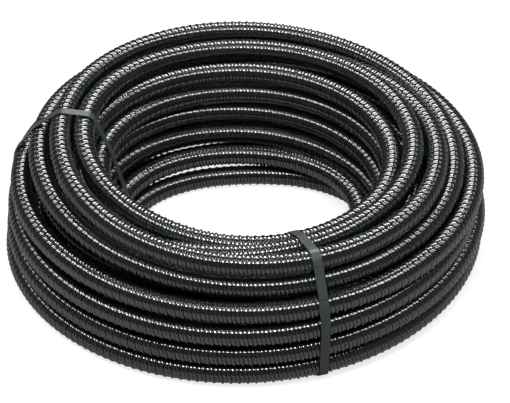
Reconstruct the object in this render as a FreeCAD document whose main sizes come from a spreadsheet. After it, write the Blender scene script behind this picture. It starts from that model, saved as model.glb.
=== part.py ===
"""A 35 m coil of 25 mm spiral suction hose, lying flat and tied with two flat straps.

Millimetres, +Z up.  The coil rests on z = 0 around the Z axis, and its front is toward -Y.
"""
import FreeCAD, Part
import math
import os

from FreeCAD import Placement, Rotation, Vector

SIZES = {
    "HoseOutside": 29.0,      # over the ribs
    "HoseWeb": 27.0,          # over the wall between the ribs
    "HoseBore": 25.0,
    "RibPitch": 10.3,
    "RibWidth": 3.4,
    "LeadRadius": 135.0,      # the free end's last quarter turn inside the eye
    "LeadLength": 35.0,       # its straight cut end
    "StrapWidth": 12.0,
    "StrapThick": 0.8,
    "StrapGap": 0.3,
    "FrontStrapAngle": 17.5,  # degrees from the front, counter-clockwise from above
    "LeftStrapAngle": 263.5,
    "LapLength": 40.0,
}

# The coil as it was wound: each row is one turn, and each pair is the radius and the height
# of the hose's centre at the front, the right, the back and the left.
FIRST_TURN = -12
TURNS = [
    (280, 100.5), (270, 103), (262, 108), (264, 105),
    (276.5, 100), (262, 104), (261, 107), (266, 105),
    (248, 107), (228, 105), (231, 107), (233, 108.5),
    (233, 77), (232, 75.5), (222, 77), (243, 75),
    (263, 74), (262, 73.5), (266, 73.5), (276, 73),
    (281, 46), (279, 45), (256, 44.5), (251, 44.5),
    (252, 44.5), (249.5, 44.5), (224, 44.5), (222, 44.5),
    (223, 44.5), (220, 44), (185, 18), (218, 15),
    (221, 15.2), (226.5, 14.6), (246, 14.6), (254.5, 14.6),
    (250.5, 14.6), (255.5, 14.6), (275.5, 14.6), (284, 14.6),
    (280, 14.6), (285, 14.6), (305, 14.6), (313.5, 15),
    (309.5, 17), (308, 36), (311, 44.5), (310, 45.5),
    (310, 46), (311, 65), (309, 76), (306, 80),
    (313, 79), (298, 90.5), (290, 101), (300, 118),
    (307, 109), (306, 119.5), (311, 126), (274, 151),
    (284, 130), (279, 132.5), (294, 156), (244, 174),
    (279, 160), (255, 150), (260, 138.5), (251.5, 132.5),
    (238, 145), (224, 156.5), (236, 159), (215, 171),
    (209, 137), (197, 137), (195, 145.5), (219, 138),
    (213, 107.5), (197, 107.5), (190.5, 114), (196, 120),
    (186, 94), (188, 76.5), (188, 84), (205.5, 92),
    (203, 71), (188, 46), (170, 58), (199.5, 63),
    (176, 54), (157, 48), (132, 46), (179, 42),
    (191.5, 17), (187, 17), (126, 14.8), (170, 14.6),
]
POINTS_PER_TURN = 16
START = -11.0
LEAD_POINTS = 3

doc = FreeCAD.newDocument("HoseCoil")
sheet = doc.addObject("Spreadsheet::Sheet", "Sizes")
for row, (alias, value) in enumerate(SIZES.items(), start=1):
    sheet.set(f"A{row}", alias)
    sheet.set(f"B{row}", str(value))
    sheet.setAlias(f"B{row}", alias)
doc.recompute()


def size(alias):
    return float(sheet.get(alias))


# ---------------------------------------------------------------- the winding

def smooth(before, a, b, after, t):
    """The value at t between a and b on the curve that passes evenly through all four."""
    return 0.5 * (2 * a + (b - before) * t
                  + (2 * before - 5 * a + 4 * b - after) * t ** 2
                  + (3 * a - before - 3 * b + after) * t ** 3)


LAST = FIRST_TURN + (len(TURNS) - 1) / 4


def winding(turn):
    """Radius and height of the hose's centre, turn counted from the front."""
    place = (turn - FIRST_TURN) * 4
    index = min(max(int(math.floor(place + 1e-9)), 0), len(TURNS) - 2)
    near = [TURNS[min(max(index + k, 0), len(TURNS) - 1)] for k in (-1, 0, 1, 2)]
    return [smooth(*values, place - index) for values in zip(*near)]


def coil_point(turn):
    """A corner of the route: it stands outside the round path that its arcs draw."""
    radius, height = winding(turn)
    radius /= math.cos(math.pi / POINTS_PER_TURN)
    angle = 2 * math.pi * turn
    return Vector(radius * math.sin(angle), -radius * math.cos(angle), height)


def lead_route():
    """The free end leaves the last floor turn at the left and bends in to point to +X."""
    bend = size("LeadRadius")
    radius, height = winding(LAST)
    centre_x = bend - radius
    step = math.pi / 2 / LEAD_POINTS
    reach = bend / math.cos(step / 2)
    route = []
    for k in range(LEAD_POINTS):
        angle = (k + 0.5) * step
        route.append(Vector(centre_x - reach * math.cos(angle), -reach * math.sin(angle), height))
    route.append(Vector(centre_x + size("LeadLength"), -bend, height))
    return route


coil_steps = int(round((LAST - START) * POINTS_PER_TURN))
ROUTE = [coil_point(START + (k + 0.5) / POINTS_PER_TURN) for k in range(coil_steps)]
ROUTE += lead_route()
start_run = ROUTE[1] - ROUTE[0]
ROUTE.insert(0, ROUTE[0] - start_run * 0.5 + Vector(0, 0, 0.4))


def corner(before, point, after):
    """The tangent arc at a point of the route: its two ends, its middle and its radius."""
    back = (before - point).normalize()
    ahead = (after - point).normalize()
    half_turn = (math.pi - back.getAngle(ahead)) / 2
    reach = 0.45 * min((before - point).Length, (after - point).Length)
    radius = reach / math.tan(half_turn)
    inward = (back + ahead).normalize()
    middle = point + inward * (radius / math.cos(half_turn) - radius)
    return point + back * reach, middle, point + ahead * reach, radius


def span_edges(first, last):
    """Edges from the middle of run first-1 to the middle of run last."""
    at = (ROUTE[first - 1] + ROUTE[first]) / 2
    if first == 1:
        at = ROUTE[0]
    edges = []
    radii = []
    for k in range(first, last + 1):
        enter, middle, leave, radius = corner(ROUTE[k - 1], ROUTE[k], ROUTE[k + 1])
        edges.append(Part.LineSegment(at, enter).toShape())
        edges.append(Part.Arc(enter, middle, leave).toShape())
        radii.append(radius)
        at = leave
    end = (ROUTE[last] + ROUTE[last + 1]) / 2
    if last == len(ROUTE) - 2:
        end = corner(*ROUTE[-3:])[2]
    if (end - at).Length > 0.01:
        edges.append(Part.LineSegment(at, end).toShape())
    return edges, radii


def ring_pipe(path):
    """A hollow tube along the path: the ribs' circle outside and the bore's inside."""
    start = path.Edges[0]
    along = start.tangentAt(start.FirstParameter)
    circles = [Part.Wire(Part.makeCircle(size(name) / 2, start.Vertexes[0].Point, along))
               for name in ("HoseOutside", "HoseBore")]
    return path.makePipe(Part.makeFace(circles, "Part::FaceMakerBullseye"))


def hose_span(name, first, last):
    """One turn of hose as a hollow tube, over the ribs outside and the bore inside."""
    edges, radii = span_edges(first, last)
    path = Part.Wire(edges)
    tube = ring_pipe(path)
    span = doc.addObject("Part::Feature", name)
    span.Label = name
    span.Shape = tube
    span.Placement = Placement()
    ring = math.pi / 4 * (size("HoseOutside") ** 2 - size("HoseBore") ** 2)
    ratio = tube.Volume / (ring * path.Length)
    print(f"{name}: length {path.Length:.0f}, least radius {min(radii):.0f}, volume ratio {ratio:.4f}")
    return span, path.Length


# ---------------------------------------------------------------- the hose's cut end

def lead_end():
    """The straight end, with its thin wall and the rigid spiral round it as two pieces."""
    start = corner(*ROUTE[-3:])[2]
    turned = Rotation(Vector(0, 0, 1), ROUTE[-1] - start)
    length = (ROUTE[-1] - start).Length

    wall = doc.addObject("Part::Cylinder", "EndWall")
    wall.setExpression("Radius", "Sizes.HoseWeb / 2")
    wall.Height = length
    bore = doc.addObject("Part::Cylinder", "EndBore")
    bore.setExpression("Radius", "Sizes.HoseBore / 2")
    bore.Height = length
    tube = doc.addObject("Part::Cut", "hose_end")
    tube.Base = wall
    tube.Tool = bore
    tube.Label = "hose_end"
    tube.Placement = Placement(start, turned)

    clear = 0.05
    inner = size("HoseWeb") / 2 + clear
    rise = size("HoseOutside") / 2 - inner
    half = size("RibWidth") / 2
    pitch = size("RibPitch")
    helix = Part.makeHelix(pitch, length - size("RibWidth") - 1, inner)
    section = Part.makePolygon([
        Vector(inner, 0, -half), Vector(inner + rise * 0.6, 0, -half),
        Vector(inner + rise, 0, -half * 0.5), Vector(inner + rise, 0, half * 0.5),
        Vector(inner + rise * 0.6, 0, half), Vector(inner, 0, half), Vector(inner, 0, -half)])
    rib = doc.addObject("Part::Feature", "hose_end_spiral")
    rib.Label = "hose_end_spiral"
    rib.Shape = Part.Wire(helix.Edges).makePipeShell([section], True, True)
    rib.Placement = Placement(start + turned.multVec(Vector(0, 0, half + 0.5)), turned)
    return [tube, rib]


# ---------------------------------------------------------------- the straps

def crossings(degrees):
    """Centres of the hose where it passes under a strap's two edges and its middle."""
    centres = []
    spread = size("StrapWidth") / 2 / 280 / (2 * math.pi)
    for side in (-spread, 0, spread):
        turn = math.floor(START) + degrees / 360 + side
        while turn < LAST:
            if turn > START:
                centres.append(tuple(winding(turn)))
            turn += 1
    return centres


def hull(points):
    """The outermost centres, counter-clockwise, each found by turning least."""
    at = min(points, key=lambda p: (p[1], p[0]))
    heading = 0.0
    ring = [at]
    while True:
        def turn_to(p):
            way = math.atan2(p[1] - at[1], p[0] - at[0])
            return (way - heading) % (2 * math.pi)
        others = [p for p in points if math.dist(p, at) > 1.5]
        following = min(others, key=lambda p: (round(turn_to(p), 9), -math.dist(p, at)))
        heading = math.atan2(following[1] - at[1], following[0] - at[0])
        if math.dist(following, ring[0]) < 1.5:
            return ring
        at = following
        ring.append(at)


def loop_geometry(ring, reach):
    """Lines and arcs of a tight loop at a distance from the ring's points."""
    shapes = []
    count = len(ring)
    for k, centre in enumerate(ring):
        before = ring[k - 1]
        after = ring[(k + 1) % count]
        enter = math.atan2(centre[1] - before[1], centre[0] - before[0]) - math.pi / 2
        leave = math.atan2(after[1] - centre[1], after[0] - centre[0]) - math.pi / 2
        if leave < enter:
            leave += 2 * math.pi
        middle = (enter + leave) / 2
        arc = [Vector(centre[0] + reach * math.cos(a), centre[1] + reach * math.sin(a), 0)
               for a in (enter, middle, leave)]
        shapes.append(Part.Arc(*arc))
        off = Vector(math.cos(leave), math.sin(leave), 0) * reach
        shapes.append(Part.LineSegment(arc[2], Vector(after[0], after[1], 0) + off))
    return shapes


def strap_body(name, degrees, geometry, width):
    """A body whose own XZ plane stands radially on the coil, padded to the strap's width."""
    body = doc.addObject("PartDesign::Body", name)
    body.Label = name
    plane = next(f for f in body.Origin.OriginFeatures if f.Role == "XZ_Plane")
    sketch = body.newObject("Sketcher::SketchObject", name + "_outline")
    sketch.AttachmentSupport = [(plane, "")]
    sketch.MapMode = "FlatFace"
    for shape in geometry:
        sketch.addGeometry(shape, False)
    pad = body.newObject("PartDesign::Pad", name + "_pad")
    pad.Profile = sketch
    pad.setExpression("Length", width)
    pad.Midplane = True
    body.Placement = Placement(Vector(), Rotation(Vector(0, 0, 1), degrees - 90))
    return body


def strap(name, degrees, lap_from):
    """A strap pulled tight round the bundle, and the welded lap of its outer end.

    Under the coil it lies flush with the floor, pressed into the hose's soft ribs.
    """
    inside = size("HoseOutside") / 2 + size("StrapGap")
    outside = inside + size("StrapThick")
    ring = hull([(radius, max(height, outside)) for radius, height in crossings(degrees)])
    band = strap_body(name, degrees, loop_geometry(ring, inside) + loop_geometry(ring, outside),
                      "Sizes.StrapWidth")

    start = ring[lap_from]
    end = ring[(lap_from + 1) % len(ring)]
    along = Vector(end[0] - start[0], end[1] - start[1], 0).normalize()
    out = Vector(along.y, -along.x, 0)
    middle = Vector((start[0] + end[0]) / 2, (start[1] + end[1]) / 2, 0)
    half = along * min(size("LapLength") / 2, math.dist(start, end) / 2)
    low = middle + out * outside
    high = middle + out * (outside + size("StrapThick"))
    corners = [low - half, low + half, high + half, high - half]
    sides = [Part.LineSegment(corners[k], corners[(k + 1) % 4]) for k in range(4)]
    lap = strap_body(name + "_lap", degrees, sides, "Sizes.StrapWidth - 0.4")
    print(name, "loop corners", [(round(r), round(z)) for r, z in ring])
    return [band, lap]


# ---------------------------------------------------------------- assembly

parts = []
total = 0.0
first = 1
last_corner = len(ROUTE) - 2
number = 1
while first <= last_corner:
    last = min(first + POINTS_PER_TURN - 1, last_corner)
    if last_corner - last < POINTS_PER_TURN / 2:
        last = last_corner
    span, length = hose_span(f"hose_turn_{number:02d}", first, last)
    parts.append(span)
    total += length
    first = last + 1
    number += 1
parts += lead_end()
total += (ROUTE[-1] - corner(*ROUTE[-3:])[2]).Length
parts += strap("strap_front", size("FrontStrapAngle"), 4)
parts += strap("strap_left", size("LeftStrapAngle"), 3)
doc.recompute()

for thing in doc.Objects:
    if "Invalid" in thing.State or "Error" in thing.State:
        raise RuntimeError(f"{thing.Label} failed: {thing.State}")
for part in parts:
    if part.Shape.isNull() or not part.Shape.isValid():
        raise RuntimeError(f"{part.Label} has no valid shape")

os.makedirs("parts", exist_ok=True)
for part in parts:
    part.Shape.exportStep(f"parts/{part.Label}.step")
print(f"{len(parts)} parts, hose length {total:.0f} mm")
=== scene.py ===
"""A 35 m coil of black spiral suction hose, lying flat and tied with two flat straps."""

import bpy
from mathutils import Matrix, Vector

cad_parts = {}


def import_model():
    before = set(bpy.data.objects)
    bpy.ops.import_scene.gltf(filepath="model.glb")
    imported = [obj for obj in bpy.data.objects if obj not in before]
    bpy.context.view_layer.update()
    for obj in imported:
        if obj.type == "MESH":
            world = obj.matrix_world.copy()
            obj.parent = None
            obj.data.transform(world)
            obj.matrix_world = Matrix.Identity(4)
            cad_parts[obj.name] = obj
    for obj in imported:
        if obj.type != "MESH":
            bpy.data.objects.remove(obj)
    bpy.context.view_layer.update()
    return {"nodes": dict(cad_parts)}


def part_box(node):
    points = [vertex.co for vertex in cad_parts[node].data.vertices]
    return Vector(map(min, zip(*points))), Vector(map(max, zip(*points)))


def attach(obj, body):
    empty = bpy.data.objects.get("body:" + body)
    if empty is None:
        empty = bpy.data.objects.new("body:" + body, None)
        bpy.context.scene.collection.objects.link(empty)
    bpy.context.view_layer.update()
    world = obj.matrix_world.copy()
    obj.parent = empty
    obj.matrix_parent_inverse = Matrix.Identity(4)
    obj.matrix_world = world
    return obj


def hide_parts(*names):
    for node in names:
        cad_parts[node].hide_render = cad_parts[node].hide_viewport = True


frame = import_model()

import math

import bpy
from mathutils import Vector

MM = 0.001

# ---------------------------------------------------------------- sizes

WALL_RADIUS = 12.2 * MM          # the groove bottoms
INNER_WALL_CLEARANCE = 0.4 * MM  # keeps the smooth inner wall below the groove bottoms
RIB_PITCH = 10.3 * MM

# The two ridges of one pitch: the rigid rib and the soft web.  Places and widths are shares of
# a pitch, and the grooves between them are sharp.
RIB = {"at": 0.22, "half width": 0.21, "height": 2.4 * MM}
WEB = {"at": 0.71, "half width": 0.27, "height": 1.4 * MM}
RIDGE_FLATNESS = 3.5             # the higher, the flatter the top
RIDGE_SHOULDER = 0.6             # the lower, the squarer the edge
ROWS_PER_RIDGE = 8
SIDES = 16
SPANS = 22                       # the ribbed outside's equal lengths

# The coil as it was wound: each row is one turn, and each pair is the radius and the height
# of the hose's centre at the front, the right, the back and the left.
FIRST_TURN = -12
TURNS = [
    (280, 100.5), (270, 103), (262, 108), (264, 105),
    (276.5, 100), (262, 104), (261, 107), (266, 105),
    (248, 107), (228, 105), (231, 107), (233, 108.5),
    (233, 77), (232, 75.5), (222, 77), (243, 75),
    (263, 74), (262, 73.5), (266, 73.5), (276, 73),
    (281, 46), (279, 45), (256, 44.5), (251, 44.5),
    (252, 44.5), (249.5, 44.5), (224, 44.5), (222, 44.5),
    (223, 44.5), (220, 44), (185, 18), (218, 15),
    (221, 15.2), (226.5, 14.6), (246, 14.6), (254.5, 14.6),
    (250.5, 14.6), (255.5, 14.6), (275.5, 14.6), (284, 14.6),
    (280, 14.6), (285, 14.6), (305, 14.6), (313.5, 15),
    (309.5, 17), (308, 36), (311, 44.5), (310, 45.5),
    (310, 46), (311, 65), (309, 76), (306, 80),
    (313, 79), (298, 90.5), (290, 101), (300, 118),
    (307, 109), (306, 119.5), (311, 126), (274, 151),
    (284, 130), (279, 132.5), (294, 156), (244, 174),
    (279, 160), (255, 150), (260, 138.5), (251.5, 132.5),
    (238, 145), (224, 156.5), (236, 159), (215, 171),
    (209, 137), (197, 137), (195, 145.5), (219, 138),
    (213, 107.5), (197, 107.5), (190.5, 114), (196, 120),
    (186, 94), (188, 76.5), (188, 84), (205.5, 92),
    (203, 71), (188, 46), (170, 58), (199.5, 63),
    (176, 54), (157, 48), (132, 46), (179, 42),
    (191.5, 17), (187, 17), (126, 14.8), (170, 14.6),
]
POINTS_PER_TURN = 16
START = -11.0
LAST = FIRST_TURN + (len(TURNS) - 1) / 4
LEAD_RADIUS = 135.0              # the bend that leads into the straight free end
LEAD_POINTS = 3
LEAD_OVERLAP = 0.5 * MM          # how far the line reaches into the free end


def smooth(before, a, b, after, t):
    """The value at t between a and b on the curve that passes evenly through all four."""
    return 0.5 * (2 * a + (b - before) * t
                  + (2 * before - 5 * a + 4 * b - after) * t ** 2
                  + (3 * a - before - 3 * b + after) * t ** 3)


def winding(turn):
    """Radius and height of the hose's centre in millimetres, turn counted from the front."""
    place = (turn - FIRST_TURN) * 4
    index = min(max(int(math.floor(place + 1e-9)), 0), len(TURNS) - 2)
    near = [TURNS[min(max(index + k, 0), len(TURNS) - 1)] for k in (-1, 0, 1, 2)]
    return [smooth(*values, place - index) for values in zip(*near)]


def coil_point(turn):
    """A point of the route, set outwards so that the curve between such points has the turn's radius."""
    radius, height = winding(turn)
    radius /= math.cos(math.pi / POINTS_PER_TURN)
    angle = 2 * math.pi * turn
    return Vector((radius * math.sin(angle), -radius * math.cos(angle), height)) * MM


def hose_route():
    """The route's points, from the hose's free end in the eye to its buried end."""
    steps = int(round((LAST - START) * POINTS_PER_TURN))
    route = [coil_point(START + (k + 0.5) / POINTS_PER_TURN) for k in range(steps)]
    radius, height = winding(LAST)
    centre_x = LEAD_RADIUS - radius
    step = math.pi / 2 / LEAD_POINTS
    reach = LEAD_RADIUS / math.cos(step / 2)
    for k in range(LEAD_POINTS):
        angle = (k + 0.5) * step
        route.append(Vector((centre_x - reach * math.cos(angle), -reach * math.sin(angle), height)) * MM)
    end_low, end_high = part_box("hose_end")
    route.append(Vector((end_low[0] + LEAD_OVERLAP, (end_low[1] + end_high[1]) / 2, height * MM)))
    route.insert(0, (route[0] * 3 - route[1]) / 2)
    return route[::-1]


# ---------------------------------------------------------------- small helpers

def link(obj):
    bpy.context.scene.collection.objects.link(obj)
    return obj


def principled(name, colour, roughness):
    """A new material and its Principled BSDF."""
    material = bpy.data.materials.new(name)
    material.use_nodes = True
    shader = material.node_tree.nodes["Principled BSDF"]
    shader.inputs["Base Color"].default_value = (*colour, 1)
    shader.inputs["Roughness"].default_value = roughness
    return material, shader


class Tree:
    """Short ways to add and wire nodes."""

    def __init__(self, tree):
        self.tree = tree

    def node(self, kind, **settings):
        made = self.tree.nodes.new(kind)
        for key, value in settings.items():
            setattr(made, key, value)
        return made

    def join(self, source, target):
        self.tree.links.new(source, target)

    def put(self, target, value):
        if isinstance(value, bpy.types.NodeSocket):
            self.join(value, target)
        else:
            target.default_value = value

    def math(self, operation, first, second=0.0):
        made = self.node("ShaderNodeMath", operation=operation)
        self.put(made.inputs[0], first)
        self.put(made.inputs[1], second)
        return made.outputs[0]

    def vector(self, operation, first, second=None, scale=None):
        made = self.node("ShaderNodeVectorMath", operation=operation)
        self.put(made.inputs[0], first)
        if second is not None:
            self.put(made.inputs[1], second)
        if scale is not None:
            self.put(made.inputs["Scale"], scale)
        return made.outputs[0]


# ---------------------------------------------------------------- materials

MOTTLE_LOW = 0.35
MOTTLE_HIGH = 0.65


def mottle_group():
    """A mottled value from two sizes of noise, for a colour and a gloss that are never quite even."""
    group = bpy.data.node_groups.new("surface_mottle", "ShaderNodeTree")
    for name in ("Coarse", "Fine"):
        group.interface.new_socket(name, in_out="INPUT", socket_type="NodeSocketFloat")
    group.interface.new_socket("Mottle", in_out="OUTPUT", socket_type="NodeSocketFloat")
    t = Tree(group)
    inputs = t.node("NodeGroupInput")
    outputs = t.node("NodeGroupOutput")
    place = t.node("ShaderNodeTexCoord")
    parts = []
    for name in ("Coarse", "Fine"):
        noise = t.node("ShaderNodeTexNoise")
        noise.inputs["Detail"].default_value = 3
        t.join(place.outputs["Object"], noise.inputs["Vector"])
        t.join(inputs.outputs[name], noise.inputs["Scale"])
        parts.append(noise.outputs["Fac"])
    t.join(t.math("MULTIPLY", t.math("ADD", *parts), 0.5), outputs.inputs["Mottle"])
    return group


def mottled(material, shader, group, coarse, fine, colours, gloss):
    """Wires the mottle to the colour and the roughness, between two of each, and gives it back."""
    t = Tree(material.node_tree)
    mottle = t.node("ShaderNodeGroup")
    mottle.node_tree = group
    mottle.inputs["Coarse"].default_value = coarse
    mottle.inputs["Fine"].default_value = fine
    ramp = t.node("ShaderNodeValToRGB")
    for element, position, colour in zip(ramp.color_ramp.elements, (MOTTLE_LOW, MOTTLE_HIGH), colours):
        element.position = position
        element.color = (*colour, 1)
    t.join(mottle.outputs["Mottle"], ramp.inputs["Fac"])
    t.join(ramp.outputs["Color"], shader.inputs["Base Color"])
    spread = t.node("ShaderNodeMapRange")
    for name, value in zip(("From Min", "From Max", "To Min", "To Max"), (MOTTLE_LOW, MOTTLE_HIGH, *gloss)):
        spread.inputs[name].default_value = value
    t.join(mottle.outputs["Mottle"], spread.inputs["Value"])
    t.join(spread.outputs["Result"], shader.inputs["Roughness"])
    return mottle.outputs["Mottle"]


def bumped(t, shader, height, strength, distance):
    """Raises the surface by a height that changes over it."""
    bump = t.node("ShaderNodeBump")
    bump.inputs["Strength"].default_value = strength
    bump.inputs["Distance"].default_value = distance
    t.join(height, bump.inputs["Height"])
    t.join(bump.outputs["Normal"], shader.inputs["Normal"])


def glossy_vinyl(group):
    """The hose: black soft vinyl with a wet shine."""
    material, shader = principled("black_vinyl", (0.0048, 0.0072, 0.0078), 0.1)
    grain = mottled(material, shader, group, coarse=30, fine=900,
                    colours=((0.0035, 0.0055, 0.006), (0.006, 0.009, 0.0098)), gloss=(0.08, 0.14))
    bumped(Tree(material.node_tree), shader, grain, strength=0.12, distance=0.4 * MM)
    shine = {"Specular IOR Level": 1.0, "Coat Weight": 1.0, "Coat Roughness": 0.08, "Coat IOR": 1.7}
    for name, value in shine.items():
        shader.inputs[name].default_value = value
    return material


def strap_plastic(group):
    """The straps: dark satin strapping with fine ribs across it."""
    material, shader = principled("strap_plastic", (0.044, 0.051, 0.055), 0.42)
    grain = mottled(material, shader, group, coarse=60, fine=1500,
                    colours=((0.038, 0.045, 0.048), (0.050, 0.058, 0.062)), gloss=(0.36, 0.48))
    t = Tree(material.node_tree)
    place = t.node("ShaderNodeTexCoord")
    ribs = t.node("ShaderNodeTexWave", wave_type="BANDS", bands_direction="Z")
    ribs.inputs["Scale"].default_value = 150
    t.join(place.outputs["Object"], ribs.inputs["Vector"])
    height = t.math("ADD", ribs.outputs["Fac"], t.math("MULTIPLY", grain, 0.3))
    bumped(t, shader, height, strength=0.5, distance=0.3 * MM)
    return material


# ---------------------------------------------------------------- the hose

def hose_line(route, material):
    """The hose's smooth inner wall along the whole route, and the line that its ribs follow."""
    curve = bpy.data.curves.new("hose_inner_wall", "CURVE")
    curve.dimensions = "3D"
    curve.twist_mode = "Z_UP"
    spline = curve.splines.new("NURBS")
    spline.points.add(len(route) - 1)
    for point, place in zip(spline.points, route):
        point.co = (*place, 1)
    spline.order_u = 3
    spline.use_endpoint_u = True
    curve.resolution_u = 10
    curve.materials.append(material)
    return link(bpy.data.objects.new("hose_inner_wall", curve))


def line_points(line):
    """The points of the bare line, in order."""
    mesh = bpy.data.meshes.new_from_object(line.evaluated_get(bpy.context.evaluated_depsgraph_get()))
    points = [v.co.copy() for v in mesh.vertices]
    bpy.data.meshes.remove(mesh)
    return points


def rib_tree():
    """Geometry nodes that wind the hose's ribbed wall round a line.

    The wall is a sheet of rows and columns.  A column runs along the hose, and each row climbs
    one pitch as it goes round, so a row is always on the same part of the spiral's section.
    The sheet is two pitches longer than its span, and what stands past the span's ends is
    pressed flat on them.
    """
    tree = bpy.data.node_groups.new("spiral_wall", "GeometryNodeTree")
    face = tree.interface
    face.new_socket("Geometry", in_out="INPUT", socket_type="NodeSocketGeometry")
    face.new_socket("Line", in_out="INPUT", socket_type="NodeSocketObject")
    ridges = [f"{ridge} {part}" for ridge in ("Rib", "Web") for part in ("at", "half width", "height")]
    for name in ["From", "Pitch", "Wall radius"] + ridges:
        face.new_socket(name, in_out="INPUT", socket_type="NodeSocketFloat")
    for name in ("Pitches", "Rows per ridge", "Sides"):
        face.new_socket(name, in_out="INPUT", socket_type="NodeSocketInt")
    face.new_socket("Finish", in_out="INPUT", socket_type="NodeSocketMaterial")
    face.new_socket("Geometry", in_out="OUTPUT", socket_type="NodeSocketGeometry")
    t = Tree(tree)
    given = t.node("NodeGroupInput").outputs
    made = t.node("NodeGroupOutput")

    columns = t.math("ADD", given["Sides"], 1)
    per_ridge = given["Rows per ridge"]
    per_pitch = t.math("MULTIPLY", per_ridge, 2)
    last_row = t.math("ADD", t.math("MULTIPLY", t.math("ADD", given["Pitches"], 2), per_pitch), 2)
    sheet = t.node("GeometryNodeMeshGrid")
    t.join(t.math("ADD", last_row, 1), sheet.inputs["Vertices X"])
    t.join(columns, sheet.inputs["Vertices Y"])
    index = t.node("GeometryNodeInputIndex").outputs[0]
    row = t.math("FLOOR", t.math("DIVIDE", t.math("ADD", index, 0.5), columns))
    column = t.math("SUBTRACT", index, t.math("MULTIPLY", row, columns))
    round_part = t.math("DIVIDE", column, given["Sides"])

    # Each ridge has its own rows, close together where its sides are steep.
    pitch_number = t.math("FLOOR", t.math("DIVIDE", t.math("SUBTRACT", row, 0.5), per_pitch))
    in_pitch = t.math("SUBTRACT", t.math("SUBTRACT", row, 1), t.math("MULTIPLY", pitch_number, per_pitch))
    on_web = t.math("GREATER_THAN", in_pitch, t.math("SUBTRACT", per_ridge, 0.5))
    in_ridge = t.math("SUBTRACT", in_pitch, t.math("MULTIPLY", on_web, per_ridge))
    turned = t.math("DIVIDE", t.math("MULTIPLY", in_ridge, math.pi), t.math("SUBTRACT", per_ridge, 1))

    def of_ridge(part):
        difference = t.math("SUBTRACT", given["Web " + part], given["Rib " + part])
        return t.math("ADD", given["Rib " + part], t.math("MULTIPLY", on_web, difference))

    off_top = t.math("MULTIPLY", of_ridge("half width"), t.math("COSINE", turned))
    pitches = t.math("ADD", t.math("SUBTRACT", of_ridge("at"), off_top), t.math("SUBTRACT", pitch_number, 2))
    pitches = t.math("ADD", pitches, round_part)
    pitches = t.math("MINIMUM", t.math("MAXIMUM", pitches, 0), given["Pitches"])
    length = t.math("ADD", given["From"], t.math("MULTIPLY", pitches, given["Pitch"]))
    just_over_one = 1.00001
    phase = t.math("FRACT", t.math("ADD", t.math("SUBTRACT", pitches, round_part), just_over_one))

    def swell(ridge):
        """How far a flat-topped ridge stands up here."""
        off = t.math("DIVIDE", t.math("SUBTRACT", phase, given[ridge + " at"]), given[ridge + " half width"])
        fall = t.math("POWER", t.math("ABSOLUTE", off), RIDGE_FLATNESS)
        left = t.math("MAXIMUM", t.math("SUBTRACT", 1, fall), 0)
        return t.math("MULTIPLY", t.math("POWER", left, RIDGE_SHOULDER), given[ridge + " height"])

    radius = t.math("ADD", given["Wall radius"], t.math("MAXIMUM", swell("Rib"), swell("Web")))
    inside = t.math("MULTIPLY", t.math("GREATER_THAN", row, 0.5),
                    t.math("LESS_THAN", row, t.math("SUBTRACT", last_row, 0.5)))
    radius = t.math("MULTIPLY", radius, inside)

    line = t.node("GeometryNodeObjectInfo", transform_space="ORIGINAL")
    t.join(given["Line"], line.inputs["Object"])
    at = t.node("GeometryNodeSampleCurve", mode="LENGTH", use_all_curves=True)
    t.join(line.outputs["Geometry"], at.inputs["Curves"])
    t.join(length, at.inputs["Length"])
    side = t.vector("NORMALIZE", t.vector("CROSS_PRODUCT", at.outputs["Tangent"], (0, 0, 1)))
    up = t.vector("CROSS_PRODUCT", side, at.outputs["Tangent"])
    angle = t.math("MULTIPLY", round_part, -2 * math.pi)
    sideways = t.vector("SCALE", side, scale=t.math("MULTIPLY", radius, t.math("COSINE", angle)))
    upwards = t.vector("SCALE", up, scale=t.math("MULTIPLY", radius, t.math("SINE", angle)))
    place = t.vector("ADD", at.outputs["Position"], t.vector("ADD", sideways, upwards))

    moved = t.node("GeometryNodeSetPosition")
    t.join(sheet.outputs["Mesh"], moved.inputs["Geometry"])
    t.join(place, moved.inputs["Position"])
    joined = t.node("GeometryNodeMergeByDistance")
    joined.inputs["Distance"].default_value = 0.02 * MM
    t.join(moved.outputs["Geometry"], joined.inputs["Geometry"])
    shaded = t.node("GeometryNodeSetShadeSmooth")
    t.join(joined.outputs["Geometry"], shaded.inputs["Geometry"])
    solid = t.node("GeometryNodeRealizeInstances")
    t.join(shaded.outputs["Geometry"], solid.inputs["Geometry"])
    finished = t.node("GeometryNodeSetMaterial")
    t.join(solid.outputs["Geometry"], finished.inputs["Geometry"])
    t.join(given["Finish"], finished.inputs["Material"])
    t.join(finished.outputs["Geometry"], made.inputs["Geometry"])
    return tree


def grown(name, tree, values):
    """A plain mesh made by a geometry nodes tree with these named inputs."""
    seed = link(bpy.data.objects.new(name + "_seed", bpy.data.meshes.new(name + "_seed")))
    modifier = seed.modifiers.new("grow", "NODES")
    modifier.node_group = tree
    for item in tree.interface.items_tree:
        if item.in_out == "INPUT" and item.name in values:
            modifier[item.identifier] = values[item.name]
    bpy.context.view_layer.update()
    mesh = bpy.data.meshes.new_from_object(seed.evaluated_get(bpy.context.evaluated_depsgraph_get()))
    mesh.name = name
    bpy.data.objects.remove(seed)
    return link(bpy.data.objects.new(name, mesh))


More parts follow.
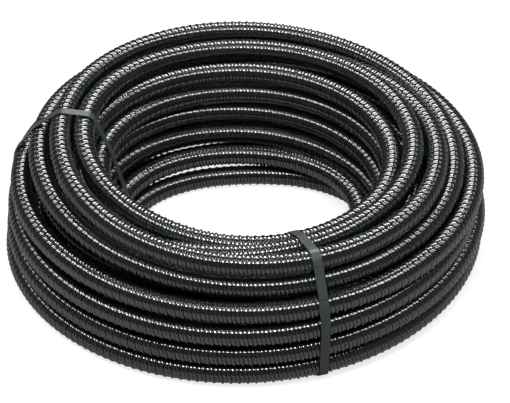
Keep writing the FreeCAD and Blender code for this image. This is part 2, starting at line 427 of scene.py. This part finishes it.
def ribbed_spans(line, length, tree, material):
    """The hose's ribbed outside in equal spans."""
    pitches = int(length / SPANS / RIB_PITCH)
    pitch = length / SPANS / pitches
    shape = {"Pitch": pitch, "Pitches": pitches, "Wall radius": WALL_RADIUS, "Line": line,
             "Finish": material, "Rows per ridge": ROWS_PER_RIDGE, "Sides": SIDES}
    for ridge, sizes in (("Rib", RIB), ("Web", WEB)):
        shape |= {f"{ridge} {part}": size for part, size in sizes.items()}
    spans = []
    for number in range(SPANS):
        shape["From"] = number * pitches * pitch
        spans.append(grown(f"hose_ribs_{number + 1:02d}", tree, shape))
    return spans


# ---------------------------------------------------------------- camera, light and floor

def camera():
    """Looks down at the coil from the front."""
    data = bpy.data.cameras.new("camera")
    data.sensor_width = 36
    data.lens = 137.3
    made = link(bpy.data.objects.new("camera", data))
    away = 2.69
    rise = math.radians(36.4)
    made.location = (0, -away * math.cos(rise), away * math.sin(rise))
    made.rotation_euler = (math.radians(90 - 35.38), 0, math.radians(-0.343))
    data.clip_end = 50
    bpy.context.scene.camera = made


def lamp(name, azimuth, elevation, distance, size, power, height=0.08):
    """A square soft lamp aimed at the coil.  Azimuth 0 is in front, and 90 to the right."""
    data = bpy.data.lights.new(name, "AREA")
    data.shape = "RECTANGLE"
    data.size, data.size_y = size
    data.energy = power
    made = link(bpy.data.objects.new(name, data))
    side = math.radians(azimuth)
    rise = math.radians(elevation)
    made.location = (distance * math.sin(side) * math.cos(rise),
                     -distance * math.cos(side) * math.cos(rise),
                     distance * math.sin(rise) + height)
    aim = Vector((0, 0, height)) - made.location
    made.rotation_euler = aim.to_track_quat("-Z", "Y").to_euler()


def floor():
    """A wide white floor that keeps the coil's shadow."""
    bpy.ops.mesh.primitive_plane_add(size=12, location=(0, 0, -0.0003))
    made = bpy.context.active_object
    made.name = "floor"
    material, shader = principled("white_floor", (0.3, 0.3, 0.3), 0.9)
    t = Tree(material.node_tree)
    rays = t.node("ShaderNodeLightPath")
    shader.inputs["Emission Color"].default_value = (1, 1, 1, 1)
    t.join(t.math("MULTIPLY", rays.outputs["Is Camera Ray"], 0.8), shader.inputs["Emission Strength"])
    made.data.materials.append(material)


def world():
    """Soft white air, full white where the camera sees it."""
    made = bpy.data.worlds.new("studio")
    made.use_nodes = True
    bpy.context.scene.world = made
    t = Tree(made.node_tree)
    rays = t.node("ShaderNodeLightPath")
    back = made.node_tree.nodes["Background"]
    back.inputs["Color"].default_value = (1, 1, 1, 1)
    strength = t.node("ShaderNodeMix", data_type="FLOAT")
    t.join(rays.outputs["Is Camera Ray"], strength.inputs["Factor"])
    strength.inputs["A"].default_value = 0.1
    strength.inputs["B"].default_value = 1.0
    t.join(strength.outputs[0], back.inputs["Strength"])


# ---------------------------------------------------------------- assembly

scene = bpy.context.scene
scene.view_settings.view_transform = "Standard"
camera()

mottle = mottle_group()
vinyl = glossy_vinyl(mottle)
strapping = strap_plastic(mottle)

line = hose_line(hose_route(), vinyl)
points = line_points(line)
length = sum((b - a).length for a, b in zip(points, points[1:]))
spans = ribbed_spans(line, length, rib_tree(), vinyl)
line.data.bevel_depth = WALL_RADIUS - INNER_WALL_CLEARANCE
line.data.bevel_resolution = 3
line.data.use_fill_caps = True

turns = [name for name in frame["nodes"] if name.startswith("hose_turn")]
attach(line, "root")
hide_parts(*turns)
for span in spans:
    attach(span, "root")

for name, node in frame["nodes"].items():
    if name not in turns:
        node.data.materials.clear()
        node.data.materials.append(strapping if name.startswith("strap") else vinyl)

floor()
world()
lamp("key", azimuth=0, elevation=60, distance=2.6, size=(1.2, 0.5), power=46)
lamp("overhead", azimuth=180, elevation=50, distance=2.2, size=(1.2, 0.9), power=34)
lamp("left", azimuth=-80, elevation=55, distance=2.4, size=(0.6, 0.6), power=10)
lamp("right", azimuth=80, elevation=55, distance=2.4, size=(0.6, 0.6), power=10)
